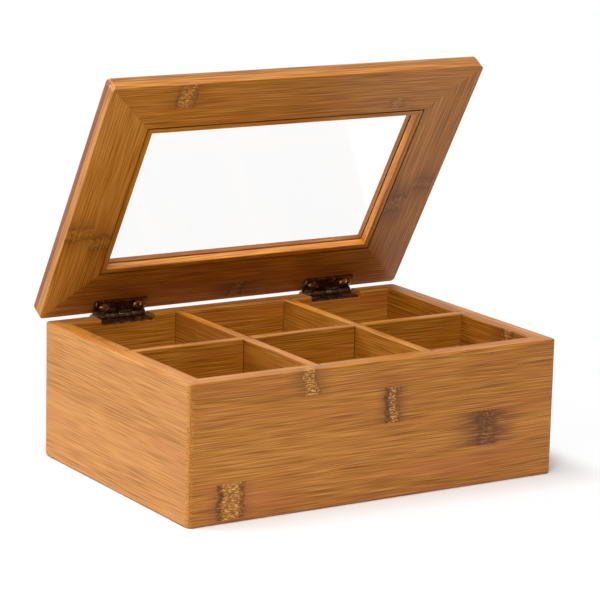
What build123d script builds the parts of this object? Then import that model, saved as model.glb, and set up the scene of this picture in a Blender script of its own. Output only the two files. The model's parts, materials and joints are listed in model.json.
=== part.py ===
from build123d import *
import math
import os

# Tea bag organizer box: a mitred bamboo box with six compartments and a hinged,
# glazed lid. Millimetres, +Z up. The origin is the centre of the box's underside,
# the front faces -Y, and the lid stands open at its resting angle.

# ---- box body ----
box_width = 215.0
box_depth = 150.0
box_height = 71.0
wall_thickness = 10.0
box_corner_radius = 3.0
rim_edge_radius = 0.9
foot_edge_radius = 2.0

# ---- base panel, let into a rabbet round the foot of the walls ----
base_thickness = 5.0
base_rabbet_width = 5.0
base_fit_gap = 0.1

# ---- dividers, halved into each other and housed in the walls ----
divider_thickness = 5.0
divider_columns = 3
cross_divider_offset = -2.0
dado_depth = 4.0
dado_side_gap = 0.25
dado_end_gap = 0.1
halving_gap = 0.1
divider_edge_radius = 0.6

# ---- lid frame ----
lid_side_overhang = 2.0
lid_front_overhang = 1.0
lid_thickness = 9.5
lid_frame_width = 30.5
lid_corner_radius = 2.5
lid_outer_edge_radius = 2.0
lid_inner_edge_radius = 0.4
lid_seat_gap = 0.2
lid_open_angle = 59.0

# ---- window pane and the beads that hold it ----
window_rabbet_width = 3.5
window_lip_thickness = 3.3
window_lip_edge_radius = 0.8
pane_thickness = 2.0
pane_edge_gap = 0.5
bead_edge_gap = 0.8
bead_edge_radius = 0.5

# ---- butt hinges ----
hinge_spacing = 128.0
hinge_length = 31.0
hinge_leaf_width = 8.0
hinge_leaf_thickness = 1.2
hinge_leaf_corner_radius = 0.8
knuckle_count = 4
knuckle_gap = 0.2
knuckle_radius = 2.2
knuckle_wood_gap = 0.25
knuckle_leaf_gap = 0.2
pin_radius = 1.0
pin_running_gap = 0.05
pin_head_radius = 1.5
pin_head_height = 0.5
pin_head_edge_radius = 0.35
pin_head_gap = 0.1
mortise_depth = 3.4
mortise_end_gap = 0.3
mortise_corner_radius = 0.25

# ---- hinge screws, countersunk with a raised head ----
screw_spacing = 20.0
screw_shank_radius = 1.0
screw_head_radius = 2.4
screw_head_depth = 1.0
screw_head_rise = 0.5
screw_length = 7.6
screw_point_length = 2.0
screw_recess_length = 2.8
screw_recess_width = 0.5
screw_recess_depth = 0.6
screw_fit_gap = 0.05

# ---- sizes that follow ----
inner_width = box_width - 2 * wall_thickness
inner_depth = box_depth - 2 * wall_thickness
compartment_width = (inner_width - (divider_columns - 1) * divider_thickness) / divider_columns
divider_offset = (compartment_width + divider_thickness) / 2
divider_height = box_height - base_thickness
halving_height = divider_height / 2
dado_width = divider_thickness + 2 * dado_side_gap

# The pin stands behind the wall just far enough for the knuckles to clear the corners
# of the mortise and of the lid, and for the pin heads to clear the wall's back face.
leaf_seat = (mortise_depth + lid_seat_gap) / 2
knuckle_reach = knuckle_radius + knuckle_wood_gap
pin_setback = max(
    math.sqrt(max(knuckle_reach**2 - leaf_seat**2, 0)),
    pin_head_radius + pin_head_gap,
)
hinge_axis_y = box_depth / 2 + pin_setback
hinge_axis_z = box_height + lid_seat_gap - leaf_seat
leaf_face_gap = 2 * (leaf_seat - hinge_leaf_thickness)
leaf_edge_y = -(knuckle_radius + knuckle_leaf_gap)
leaf_screw_y = leaf_edge_y - hinge_leaf_width / 2
screw_dome_radius = (screw_head_radius**2 + screw_head_rise**2) / (2 * screw_head_rise)
screw_head_angle = 2 * math.degrees(
    math.atan2(screw_head_radius - screw_shank_radius, screw_head_depth)
)
knuckle_length = (hinge_length - (knuckle_count - 1) * knuckle_gap) / knuckle_count
knuckle_pitch = knuckle_length + knuckle_gap
first_knuckle_x = -(knuckle_count - 1) * knuckle_pitch / 2

lid_width = box_width + 2 * lid_side_overhang
lid_length = box_depth + lid_front_overhang
lid_centre_y = -hinge_axis_y - lid_front_overhang / 2
lid_under_z = box_height + lid_seat_gap - hinge_axis_z
window_width = lid_width - 2 * lid_frame_width
window_length = lid_length - 2 * lid_frame_width
rabbet_width = window_width + 2 * window_rabbet_width
rabbet_length = window_length + 2 * window_rabbet_width
rabbet_depth = lid_thickness - window_lip_thickness
bead_height = rabbet_depth - pane_thickness
bead_width = window_rabbet_width - bead_edge_gap

# The box-side hinge plane has its origin on the pin axis. The lid plane has the
# same origin and turns with the lid, so that a lid piece has on it the place that it
# has on the box-side plane when the lid is shut.
open_radians = math.radians(lid_open_angle)
box_hinge_plane = Plane(origin=(0, hinge_axis_y, hinge_axis_z))
lid_hinge_plane = Plane(
    origin=box_hinge_plane.origin,
    x_dir=(1, 0, 0),
    z_dir=(0, math.sin(open_radians), math.cos(open_radians)),
)
lid_axis = Axis(lid_hinge_plane.origin, lid_hinge_plane.z_dir)
# The middle of the lid frame's underside, where the lid's own pieces are drawn from.
lid_under_plane = Plane(
    origin=lid_hinge_plane.from_local_coords((0, lid_centre_y, lid_under_z)),
    x_dir=lid_hinge_plane.x_dir,
    z_dir=lid_hinge_plane.z_dir,
)

os.makedirs("parts", exist_ok=True)


def hand_over(piece, label):
    """Name a finished piece and write it as its own STEP file."""
    piece.part.label = label
    export_step(piece.part, f"parts/{label}.step")


def mitred_outline(width, depth, member, side):
    """Corners of the trapezium that one mitred member fills, a little past both faces.

    side is (0, -1) for the front, (0, 1) for the back, (-1, 0) for the left and
    (1, 0) for the right member of a frame of the given outer width and depth.
    """
    margin = 1.0
    outer = (width / 2 + margin, depth / 2 + margin)
    inner = (width / 2 - member - margin, depth / 2 - member - margin)
    if side[0]:
        return [
            (side[0] * outer[0], -outer[1]),
            (side[0] * outer[0], outer[1]),
            (side[0] * inner[0], inner[1]),
            (side[0] * inner[0], -inner[1]),
        ]
    return [
        (-outer[0], side[1] * outer[1]),
        (outer[0], side[1] * outer[1]),
        (inner[0], side[1] * inner[1]),
        (-inner[0], side[1] * inner[1]),
    ]


# ---------------------------------------------------------------------------
# Box body
# ---------------------------------------------------------------------------

# The glued-up frame of the four walls, before it is told apart at the mitres.
with BuildPart() as wall_frame:
    with BuildSketch():
        RectangleRounded(box_width, box_depth, box_corner_radius)
        Rectangle(inner_width, inner_depth, mode=Mode.SUBTRACT)
    extrude(amount=box_height)
    rim = wall_frame.faces().sort_by(Axis.Z)[-1]
    fillet(rim.edges(), rim_edge_radius)
    foot = wall_frame.faces().sort_by(Axis.Z)[0]
    fillet(foot.outer_wire().edges(), foot_edge_radius)
    # rabbet for the base panel
    with BuildSketch():
        Rectangle(inner_width + 2 * base_rabbet_width, inner_depth + 2 * base_rabbet_width)
    extrude(amount=base_thickness, mode=Mode.SUBTRACT)
    # dados for the divider ends
    with BuildSketch(Plane.XY.offset(base_thickness)):
        with Locations((-divider_offset, 0), (divider_offset, 0)):
            Rectangle(dado_width, inner_depth + 2 * dado_depth)
        with Locations((0, cross_divider_offset)):
            Rectangle(inner_width + 2 * dado_depth, dado_width)
    extrude(amount=box_height, mode=Mode.SUBTRACT)
    # hinge mortises, cut through the top of the back wall from outside to inside
    with BuildSketch(Plane.XZ.offset(-box_depth / 2)) as mortise_end:
        with Locations((0, box_height - mortise_depth / 2)):
            with GridLocations(hinge_spacing, 1, 2, 1):
                Rectangle(hinge_length + 2 * mortise_end_gap, mortise_depth)
        fillet(mortise_end.vertices().group_by(Axis.Y)[0], mortise_corner_radius)
    extrude(amount=wall_thickness, mode=Mode.SUBTRACT)
    # pilot holes for the box leaf screws
    with BuildSketch(Plane.XY.offset(box_height - mortise_depth)):
        with Locations((0, hinge_axis_y + leaf_screw_y)):
            with GridLocations(hinge_spacing, 1, 2, 1):
                with GridLocations(screw_spacing, 1, 2, 1):
                    Circle(screw_shank_radius + screw_fit_gap)
    extrude(amount=-screw_length, mode=Mode.SUBTRACT)

wall_sides = (
    ((0, -1), "front_wall"),
    ((0, 1), "back_wall"),
    ((-1, 0), "left_wall"),
    ((1, 0), "right_wall"),
)
for side, label in wall_sides:
    with BuildPart() as wall:
        add(wall_frame.part)
        with BuildSketch():
            with BuildLine():
                Polyline(*mitred_outline(box_width, box_depth, wall_thickness, side), close=True)
            make_face()
        extrude(amount=box_height, mode=Mode.INTERSECT)
    hand_over(wall, label)

with BuildPart() as base_panel:
    with BuildSketch():
        Rectangle(
            inner_width + 2 * (base_rabbet_width - base_fit_gap),
            inner_depth + 2 * (base_rabbet_width - base_fit_gap),
        )
    extrude(amount=base_thickness)
hand_over(base_panel, "base_panel")

with BuildPart() as cross_divider:
    with BuildSketch(Plane.XY.offset(base_thickness)):
        with Locations((0, cross_divider_offset)):
            Rectangle(inner_width + 2 * (dado_depth - dado_end_gap), divider_thickness)
    extrude(amount=divider_height)
    top_edges = cross_divider.faces().sort_by(Axis.Z)[-1].edges()
    fillet(top_edges.filter_by(Axis.X), divider_edge_radius)
    # upper halvings, open at the top
    with BuildSketch(Plane.XY.offset(base_thickness + halving_height - halving_gap / 2)):
        with Locations((0, cross_divider_offset)):
            with GridLocations(2 * divider_offset, 1, 2, 1):
                Rectangle(dado_width, 2 * divider_thickness)
    extrude(amount=divider_height, mode=Mode.SUBTRACT)
hand_over(cross_divider, "cross_divider")

for side, label in ((-1, "left_divider"), (1, "right_divider")):
    with BuildPart() as long_divider:
        with BuildSketch(Plane.XY.offset(base_thickness)):
            with Locations((side * divider_offset, 0)):
                Rectangle(divider_thickness, inner_depth + 2 * (dado_depth - dado_end_gap))
        extrude(amount=divider_height)
        top_edges = long_divider.faces().sort_by(Axis.Z)[-1].edges()
        fillet(top_edges.filter_by(Axis.Y), divider_edge_radius)
        # lower halving, open at the foot
        with BuildSketch(Plane.XY.offset(base_thickness)):
            with Locations((side * divider_offset, cross_divider_offset)):
                Rectangle(2 * divider_thickness, dado_width)
        extrude(amount=halving_height + halving_gap / 2, mode=Mode.SUBTRACT)
    hand_over(long_divider, label)

# ---------------------------------------------------------------------------
# Lid
# ---------------------------------------------------------------------------

# The glued-up lid frame, before it is told apart at the mitres.
with BuildPart() as lid_frame:
    with BuildSketch(lid_under_plane):
        RectangleRounded(lid_width, lid_length, lid_corner_radius)
        Rectangle(window_width, window_length, mode=Mode.SUBTRACT)
    extrude(amount=lid_thickness)
    lid_top = lid_frame.faces().filter_by(lid_under_plane).sort_by(lid_axis)[-1]
    fillet(lid_top.outer_wire().edges(), lid_outer_edge_radius)
    lid_top = lid_frame.faces().filter_by(lid_under_plane).sort_by(lid_axis)[-1]
    fillet(lid_top.inner_wires()[0].edges(), window_lip_edge_radius)
    lid_underside = lid_frame.faces().filter_by(lid_under_plane).sort_by(lid_axis)[0]
    fillet(lid_underside.outer_wire().edges(), lid_inner_edge_radius)
    # rabbet for the pane and its beads, open at the underside
    with BuildSketch(lid_under_plane):
        Rectangle(rabbet_width, rabbet_length)
    extrude(amount=rabbet_depth, mode=Mode.SUBTRACT)
    # pilot holes for the lid leaf screws
    with BuildSketch(lid_under_plane):
        with Locations((0, leaf_screw_y - lid_centre_y)):
            with GridLocations(hinge_spacing, 1, 2, 1):
                with GridLocations(screw_spacing, 1, 2, 1):
                    Circle(screw_shank_radius + screw_fit_gap)
    extrude(amount=screw_length, mode=Mode.SUBTRACT)

lid_sides = (
    ((0, -1), "lid_front_rail"),
    ((0, 1), "lid_rear_rail"),
    ((-1, 0), "lid_left_stile"),
    ((1, 0), "lid_right_stile"),
)
for side, label in lid_sides:
    with BuildPart() as member:
        add(lid_frame.part)
        with BuildSketch(lid_under_plane):
            with BuildLine():
                Polyline(*mitred_outline(lid_width, lid_length, lid_frame_width, side), close=True)
            make_face()
        extrude(amount=lid_thickness, mode=Mode.INTERSECT)
    hand_over(member, label)

with BuildPart() as window_pane:
    with BuildSketch(lid_under_plane.offset(bead_height)):
        Rectangle(rabbet_width - 2 * pane_edge_gap, rabbet_length - 2 * pane_edge_gap)
    extrude(amount=pane_thickness)
hand_over(window_pane, "window_pane")

# The four beads as one frame, before it is told apart at the mitres.
with BuildPart() as bead_frame:
    with BuildSketch(lid_under_plane):
        Rectangle(rabbet_width - 2 * bead_edge_gap, rabbet_length - 2 * bead_edge_gap)
        Rectangle(window_width, window_length, mode=Mode.SUBTRACT)
    extrude(amount=bead_height)
    bead_underside = bead_frame.faces().filter_by(lid_under_plane).sort_by(lid_axis)[0]
    fillet(bead_underside.inner_wires()[0].edges(), bead_edge_radius)

bead_sides = (
    ((0, -1), "bead_front"),
    ((0, 1), "bead_rear"),
    ((-1, 0), "bead_left"),
    ((1, 0), "bead_right"),
)
bead_outer_width = rabbet_width - 2 * bead_edge_gap
bead_outer_length = rabbet_length - 2 * bead_edge_gap
for side, label in bead_sides:
    with BuildPart() as bead:
        add(bead_frame.part)
        with BuildSketch(lid_under_plane):
            with BuildLine():
                Polyline(
                    *mitred_outline(bead_outer_width, bead_outer_length, bead_width, side),
                    close=True,
                )
            make_face()
        extrude(amount=bead_height, mode=Mode.INTERSECT)
    hand_over(bead, label)

# ---------------------------------------------------------------------------
# Hinges and screws
# ---------------------------------------------------------------------------


def across_pin(plane, x):
    """The plane square to the hinge pin at x along it."""
    return Plane(origin=plane.from_local_coords((x, 0, 0)), x_dir=plane.y_dir, z_dir=plane.x_dir)


def screw_places(plane, face_side, centre_x):
    """Where one leaf's screws meet its bare face, with +Z out of the wood.

    face_side is the side of the pin axis that the leaf lies on: -1 for the box
    leaf, under the axis, and 1 for the lid leaf, over it when the lid is shut.
    """
    return [
        Plane(
            origin=plane.from_local_coords(
                (centre_x + offset, leaf_screw_y, face_side * leaf_face_gap / 2)
            ),
            x_dir=plane.x_dir,
            z_dir=plane.z_dir * -face_side,
        )
        for offset in (-screw_spacing / 2, screw_spacing / 2)
    ]


def hinge_leaf(plane, face_side, centre_x, knuckle_slots):
    """One leaf with its knuckles, bored for the pin and countersunk for its screws."""
    knuckle_centres = [centre_x + first_knuckle_x + slot * knuckle_pitch for slot in knuckle_slots]
    with BuildPart() as leaf:
        with BuildSketch(plane.offset(face_side * leaf_face_gap / 2)) as outline:
            with Locations((centre_x, leaf_edge_y - hinge_leaf_width / 2)):
                Rectangle(hinge_length, hinge_leaf_width)
            fillet(outline.vertices().group_by(Axis.Y)[0], hinge_leaf_corner_radius)
            with Locations(*[(x, leaf_edge_y / 2) for x in knuckle_centres]):
                Rectangle(knuckle_length, -leaf_edge_y)
        extrude(amount=face_side * hinge_leaf_thickness)
        for x in knuckle_centres:
            with BuildSketch(across_pin(plane, x - knuckle_length / 2)):
                Circle(knuckle_radius)
            extrude(amount=knuckle_length)
        with BuildSketch(across_pin(plane, centre_x - hinge_length / 2)):
            Circle(pin_radius + pin_running_gap)
        extrude(amount=hinge_length, mode=Mode.SUBTRACT)
        with Locations(*screw_places(plane, face_side, centre_x)):
            CounterSinkHole(
                screw_shank_radius + screw_fit_gap,
                screw_head_radius + screw_fit_gap,
                hinge_leaf_thickness,
                screw_head_angle,
            )
    return leaf


def hinge_pin(centre_x):
    """A pin through all the knuckles, with a low head at each end."""
    shaft_length = hinge_length + 2 * pin_head_gap
    with BuildPart() as pin:
        with BuildSketch(across_pin(box_hinge_plane, centre_x - shaft_length / 2)):
            Circle(pin_radius)
        extrude(amount=shaft_length)
        for end in (-1, 1):
            with BuildSketch(across_pin(box_hinge_plane, centre_x + end * shaft_length / 2)):
                Circle(pin_head_radius)
            extrude(amount=end * pin_head_height)
        rims = pin.edges().filter_by(GeomType.CIRCLE).group_by(Axis.X)
        fillet(rims[0] + rims[-1], pin_head_edge_radius)
    return pin


box_knuckles = range(0, knuckle_count, 2)
lid_knuckles = range(1, knuckle_count, 2)

# One screw, standing on its point with the rim of its head on the XY plane.
with BuildPart() as screw:
    with BuildSketch(Plane.XZ):
        with BuildLine():
            Polyline(
                (0, screw_head_rise),
                (0, -screw_length),
                (screw_shank_radius, screw_point_length - screw_length),
                (screw_shank_radius, -screw_head_depth),
                (screw_head_radius, 0),
            )
            RadiusArc((0, screw_head_rise), (screw_head_radius, 0), screw_dome_radius)
        make_face()
    revolve(axis=Axis.Z)
    # cross recess
    with BuildSketch(Plane.XY.offset(screw_head_rise)):
        Rectangle(screw_recess_length, screw_recess_width)
        Rectangle(screw_recess_width, screw_recess_length)
    extrude(amount=-screw_recess_depth, mode=Mode.SUBTRACT)

for side, hinge in ((-1, "hinge_left"), (1, "hinge_right")):
    hinge_x = side * hinge_spacing / 2
    hand_over(hinge_leaf(box_hinge_plane, -1, hinge_x, box_knuckles), f"{hinge}_box_leaf")
    hand_over(hinge_leaf(lid_hinge_plane, 1, hinge_x, lid_knuckles), f"{hinge}_lid_leaf")
    hand_over(hinge_pin(hinge_x), f"{hinge}_pin")

for plane, face_side, label in (
    (box_hinge_plane, -1, "box_leaf_screws"),
    (lid_hinge_plane, 1, "lid_leaf_screws"),
):
    with BuildPart() as screws:
        for side in (-1, 1):
            with Locations(*screw_places(plane, face_side, side * hinge_spacing / 2)):
                add(screw.part)
    hand_over(screws, label)
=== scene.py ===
"""Finishes a glazed bamboo tea bag box and sets it in a small studio.

The packed model gives every board, bead, screw and pin its shape and place. Here each of them
gets its finish, and the hinge leaves and the window pane are modelled with the rolled
knuckles, eased edges and polished arrises of the real ones.
"""

import json
import math
from collections import namedtuple

import bmesh
import bpy
from bpy.props import FloatProperty, FloatVectorProperty, IntProperty, PointerProperty
from mathutils import Matrix, Vector


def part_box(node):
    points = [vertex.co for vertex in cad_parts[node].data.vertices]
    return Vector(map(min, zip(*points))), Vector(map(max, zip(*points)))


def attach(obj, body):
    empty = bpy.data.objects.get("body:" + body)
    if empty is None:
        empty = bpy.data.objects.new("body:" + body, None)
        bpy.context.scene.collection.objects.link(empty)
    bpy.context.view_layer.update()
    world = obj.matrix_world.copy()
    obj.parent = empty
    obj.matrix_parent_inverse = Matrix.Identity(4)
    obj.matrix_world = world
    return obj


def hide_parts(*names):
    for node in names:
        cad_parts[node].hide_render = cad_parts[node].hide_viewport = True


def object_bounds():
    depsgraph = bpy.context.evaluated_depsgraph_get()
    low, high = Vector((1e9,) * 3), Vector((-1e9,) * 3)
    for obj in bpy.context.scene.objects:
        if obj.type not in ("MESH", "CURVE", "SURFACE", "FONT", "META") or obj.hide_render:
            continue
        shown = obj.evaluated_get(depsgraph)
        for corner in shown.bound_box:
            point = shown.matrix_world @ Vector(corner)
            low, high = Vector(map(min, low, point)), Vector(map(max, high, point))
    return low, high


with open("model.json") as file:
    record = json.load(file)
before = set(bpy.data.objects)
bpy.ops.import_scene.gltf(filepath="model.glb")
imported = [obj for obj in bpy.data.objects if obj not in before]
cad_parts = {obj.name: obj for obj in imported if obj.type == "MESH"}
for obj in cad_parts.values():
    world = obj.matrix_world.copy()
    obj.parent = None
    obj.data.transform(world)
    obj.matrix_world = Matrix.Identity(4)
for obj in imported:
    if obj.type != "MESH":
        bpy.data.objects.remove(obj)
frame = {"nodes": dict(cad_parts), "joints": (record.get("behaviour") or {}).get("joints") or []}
cad_low, cad_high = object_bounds()

bl_info = {
    "name": "Tea bag organizer box",
    "version": (1, 0, 0),
    "blender": (4, 5, 0),
    "location": "View3D > Sidebar > Tea Box",
    "description": "Bamboo boards, bronze hinges, glass pane and studio for a tea bag box",
    "category": "Object",
}

MM = 0.001

X_AXIS = Vector((1, 0, 0))
Y_AXIS = Vector((0, 1, 0))
Z_AXIS = Vector((0, 0, 1))

# The lid turns about the hinge pins. The model rests with the lid open, and the joint's lower
# limit is the turn from there to shut.
hinge = frame["joints"][0]
hinge_axis = Vector(hinge["pos_m"])
lid_open_angle = math.radians(-hinge["range_deg"][0])
lid_rearward = Vector((0, math.cos(lid_open_angle), -math.sin(lid_open_angle)))
lid_upward = Vector((0, math.sin(lid_open_angle), math.cos(lid_open_angle)))


def srgb(red, green, blue):
    """A colour as it is seen on a screen, 0 to 255, in the linear values that shaders take."""

    def linear(value):
        value = value / 255
        return value / 12.92 if value <= 0.04045 else ((value + 0.055) / 1.055) ** 2.4

    return tuple(linear(value) for value in (red, green, blue))


# ---------------------------------------------------------------------------
# What a user can change
# ---------------------------------------------------------------------------


def colour_property(name, description, default):
    return FloatVectorProperty(
        name=name, description=description, default=default, subtype="COLOR", min=0.0, max=1.0
    )


def share_property(name, description, default):
    return FloatProperty(
        name=name, description=description, default=default, subtype="FACTOR", min=0.0, max=1.0
    )


def power_property(name, description, default):
    return FloatProperty(
        name=name, description=description, default=default, subtype="POWER", min=0.0
    )


def length_property(name, description, default, low, high):
    return FloatProperty(
        name=name, description=description, default=default, unit="LENGTH", min=low, max=high
    )


class BambooFinish(bpy.types.PropertyGroup):
    """Caramel bamboo strips under satin varnish."""

    light: colour_property(
        "Light Fibre",
        "Colour of the pale tissue between the fibre bundles",
        srgb(203, 137, 58),
    )
    middle: colour_property(
        "Middle Tone",
        "Colour that most of a strip shows",
        srgb(177, 110, 17),
    )
    dark: colour_property(
        "Dark Fibre",
        "Colour of the dense fibre bundles",
        srgb(132, 70, 4),
    )
    blush: colour_property(
        "Blush",
        "Pinkish tone that some strips lean to",
        srgb(190, 106, 48),
    )
    ring: colour_property(
        "Growth Ring",
        "Darkest colour inside a growth ring of the cane",
        srgb(84, 40, 0),
    )
    stain: colour_property(
        "Ring Stain",
        "Brown that spreads along the grain from a growth ring",
        srgb(100, 46, 4),
    )
    dash: colour_property(
        "Ring Dash",
        "Pale short fibres inside a growth ring",
        srgb(246, 190, 92),
    )
    strip_width: length_property(
        "Strip Width",
        "Width of the bamboo strips that a board is glued from",
        18.6 * MM,
        4 * MM,
        60 * MM,
    )
    layer_thickness: length_property(
        "Layer Thickness",
        "Thickness that the layers of a board come nearest to",
        5.0 * MM,
        2 * MM,
        20 * MM,
    )
    fibre_length: length_property(
        "Fibre Length",
        "Length over which a fine dark line can be followed",
        32.0 * MM,
        5 * MM,
        200 * MM,
    )
    fibre_width: length_property(
        "Fibre Width", "Width of the fine lines", 0.6 * MM, 0.2 * MM, 5 * MM
    )
    wander: length_property(
        "Wander", "How far the lines stray to either side of straight", 0.3 * MM, 0.0, 10 * MM
    )
    varnish_roughness: share_property("Varnish Roughness", "Roughness of the satin varnish", 0.42)
    varnish_gloss: share_property(
        "Varnish Gloss", "How strongly the varnish mirrors the room", 0.4
    )
    relief: length_property(
        "Grain Relief", "Depth of the grain that shows through the varnish", 0.04 * MM, 0.0, 1 * MM
    )


class HingeFinish(bpy.types.PropertyGroup):
    """Rolled butt hinges in antique bronze."""

    patina: colour_property(
        "Patina",
        "Dark colour of the bronze where it isn't rubbed",
        srgb(132, 98, 74),
    )
    rubbed: colour_property(
        "Rubbed Bronze",
        "Brighter colour where the patina has thinned",
        srgb(222, 200, 150),
    )
    roughness: share_property(
        "Bronze Roughness", "Roughness of the plated and lacquered surface", 0.28
    )
    edge_radius: length_property(
        "Edge Radius", "Rounding left on the stamped edges", 0.14 * MM, 0.0, 0.4 * MM
    )
    curl_angle: FloatProperty(
        name="Curl",
        description="How far the leaf is rolled round its pin",
        default=math.radians(282),
        subtype="ANGLE",
        min=math.radians(180),
        max=math.radians(285),
    )
    curl_steps: IntProperty(
        name="Curl Steps",
        description="Straight steps that the rolled knuckle is made of",
        default=24,
        min=8,
        max=64,
    )


class PaneFinish(bpy.types.PropertyGroup):
    """Clear float glass with ground arrises."""

    tint: colour_property(
        "Tint",
        "Colour that light keeps on its way through the pane",
        (1.0, 1.0, 1.0),
    )
    index: FloatProperty(
        name="Refractive Index",
        description="Refractive index of the glass",
        default=1.5,
        min=1.0,
        max=2.0,
    )
    gloss: share_property("Gloss", "How strongly the pane mirrors the room", 0.1)
    arris: length_property(
        "Arris", "Width ground off the pane's sharp edges", 0.3 * MM, 0.0, 0.9 * MM
    )


class StudioSettings(bpy.types.PropertyGroup):
    """Camera, lamps and floor."""

    azimuth: FloatProperty(
        name="Azimuth",
        description="Turn of the camera to the right of the box's front",
        default=math.radians(-32.27),
        subtype="ANGLE",
    )
    elevation: FloatProperty(
        name="Elevation",
        description="Height of the camera above level, seen from the box",
        default=math.radians(12.36),
        subtype="ANGLE",
    )
    roll: FloatProperty(
        name="Roll",
        description="Tilt of the camera about its own line of sight",
        default=math.radians(1.41),
        subtype="ANGLE",
    )
    distance: FloatProperty(
        name="Distance",
        description="From the camera to the point that it is aimed at",
        default=1480.6 * MM,
        unit="LENGTH",
        min=0.1,
    )
    aim_right: FloatProperty(
        name="Aim Right",
        description="Aim point, to the right of the middle of the box's foot",
        default=1.87 * MM,
        unit="LENGTH",
    )
    aim_up: FloatProperty(
        name="Aim Up",
        description="Aim point, above the middle of the box's foot",
        default=84.69 * MM,
        unit="LENGTH",
    )
    lens: FloatProperty(
        name="Lens",
        description="Focal length on a 36 mm wide sensor, in millimetres",
        default=172.13,
        min=10.0,
        max=500.0,
    )
    key_power: power_property("Key Power", "Power of the large lamp on the left", 15.0)
    top_power: power_property("Top Power", "Power of the lamp above", 21.0)
    front_power: power_property("Front Power", "Power of the lamp high in front", 28.0)
    back_power: power_property(
        "Back Power", "Power of the low lamp behind that shines along the rims", 6.0
    )
    room_light: FloatProperty(
        name="Room Light",
        description="Light that the room sends from all sides",
        default=0.03,
        min=0.0,
        max=1.0,
    )
    room_gloss: FloatProperty(
        name="Room Gloss",
        description="Brightness of the room in front of the box where glossy surfaces mirror it",
        default=0.15,
        min=0.0,
        max=1.0,
    )
    backdrop_gloss: FloatProperty(
        name="Backdrop Gloss",
        description="Brightness of the backdrop behind the box where glossy surfaces mirror it",
        default=1.7,
        min=0.0,
        max=2.0,
    )
    floor_radius: FloatProperty(
        name="Floor Radius",
        description="Radius of the round studio floor",
        default=12.0,
        unit="LENGTH",
        min=1.0,
    )


# ---------------------------------------------------------------------------
# Node trees
# ---------------------------------------------------------------------------


class NodeSheet:
    """Adds nodes to one tree, each fed by plain values or by the outputs of other nodes."""

    def __init__(self, tree):
        self.tree = tree
        tree.nodes.clear()

    def feed(self, socket, value):
        if isinstance(value, bpy.types.NodeSocket):
            self.tree.links.new(value, socket)
        elif hasattr(value, "__len__") and len(socket.default_value) == len(value) + 1:
            socket.default_value = (*value, 1.0)
        else:
            socket.default_value = value

    def add(self, kind, inputs=None, **settings):
        node = self.tree.nodes.new(kind)
        for name, value in settings.items():
            setattr(node, name, value)
        for name, value in (inputs or {}).items():
            self.feed(node.inputs[name], value)
        return node

    def math(self, operation, *values, clamp=False):
        node = self.add("ShaderNodeMath", operation=operation, use_clamp=clamp)
        for socket, value in zip(node.inputs, values):
            self.feed(socket, value)
        return node.outputs["Value"]

    def vector_math(self, operation, *values):
        node = self.add("ShaderNodeVectorMath", operation=operation)
        for socket, value in zip(node.inputs, values):
            self.feed(socket, value)
        return node.outputs["Vector"]

    def split(self, vector):
        node = self.add("ShaderNodeSeparateXYZ", {"Vector": vector})
        return node.outputs["X"], node.outputs["Y"], node.outputs["Z"]

    def join(self, x, y, z):
        return self.add("ShaderNodeCombineXYZ", {"X": x, "Y": y, "Z": z}).outputs["Vector"]

    def noise(self, vector, size, detail=2.0, roughness=0.5, distortion=0.0):
        """Noise from 0 to 1 whose cells have that size along x, y and z of the vector."""
        cells = self.vector_math("DIVIDE", vector, size)
        inputs = {
            "Vector": cells,
            "Scale": 1.0,
            "Detail": detail,
            "Roughness": roughness,
            "Distortion": distortion,
        }
        return self.add("ShaderNodeTexNoise", inputs).outputs["Fac"]

    def step(self, value, low, high, to_low=0.0, to_high=1.0):
        """A soft step from to_low, at low and under, to to_high, at high and over."""
        inputs = {
            "Value": value,
            "From Min": low,
            "From Max": high,
            "To Min": to_low,
            "To Max": to_high,
        }
        node = self.add("ShaderNodeMapRange", inputs, interpolation_type="SMOOTHSTEP")
        return node.outputs["Result"]

    def mix(self, factor, first, second, blend_type="MIX"):
        """One colour laid over another."""
        node = self.add("ShaderNodeMix", data_type="RGBA", blend_type=blend_type)
        self.feed(node.inputs["Factor"], factor)
        self.feed(node.inputs[6], first)
        self.feed(node.inputs[7], second)
        return node.outputs[2]


def new_group(name, inputs, outputs):
    """An empty node group with these sockets, its sheet, and the nodes at its two ends."""
    tree = bpy.data.node_groups.new(name, "ShaderNodeTree")
    for direction, sockets in (("INPUT", inputs), ("OUTPUT", outputs)):
        for socket_name, kind in sockets:
            tree.interface.new_socket(
                name=socket_name, in_out=direction, socket_type=f"NodeSocket{kind}"
            )
    sheet = NodeSheet(tree)
    return tree, sheet, sheet.add("NodeGroupInput").outputs, sheet.add("NodeGroupOutput").inputs


def use_group(sheet, tree, inputs):
    node = sheet.add("ShaderNodeGroup", node_tree=tree)
    for name, value in inputs.items():
        sheet.feed(node.inputs[name], value)
    return node.outputs


def new_material(name, colour):
    """A material with an empty sheet, and its plain colour for the viewport."""
    material = bpy.data.materials.new(name)
    material.use_nodes = True
    material.diffuse_color = (*colour, 1.0)
    return material, NodeSheet(material.node_tree)


def show_surface(sheet, shader):
    sheet.add("ShaderNodeOutputMaterial", {"Surface": shader})


def board_mapping(sheet, rows, origin):
    """Object coordinates turned to the three given directions, from origin, in millimetres."""
    turn = Matrix(rows)
    start = turn @ origin / MM
    coordinates = sheet.add("ShaderNodeTexCoord").outputs["Object"]
    inputs = {
        "Vector": coordinates,
        "Location": -start,
        "Rotation": turn.to_euler(),
        "Scale": (1 / MM, 1 / MM, 1 / MM),
    }
    return sheet.add("ShaderNodeMapping", inputs, vector_type="POINT").outputs["Vector"]


# ---------------------------------------------------------------------------
# Bamboo
# ---------------------------------------------------------------------------

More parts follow.
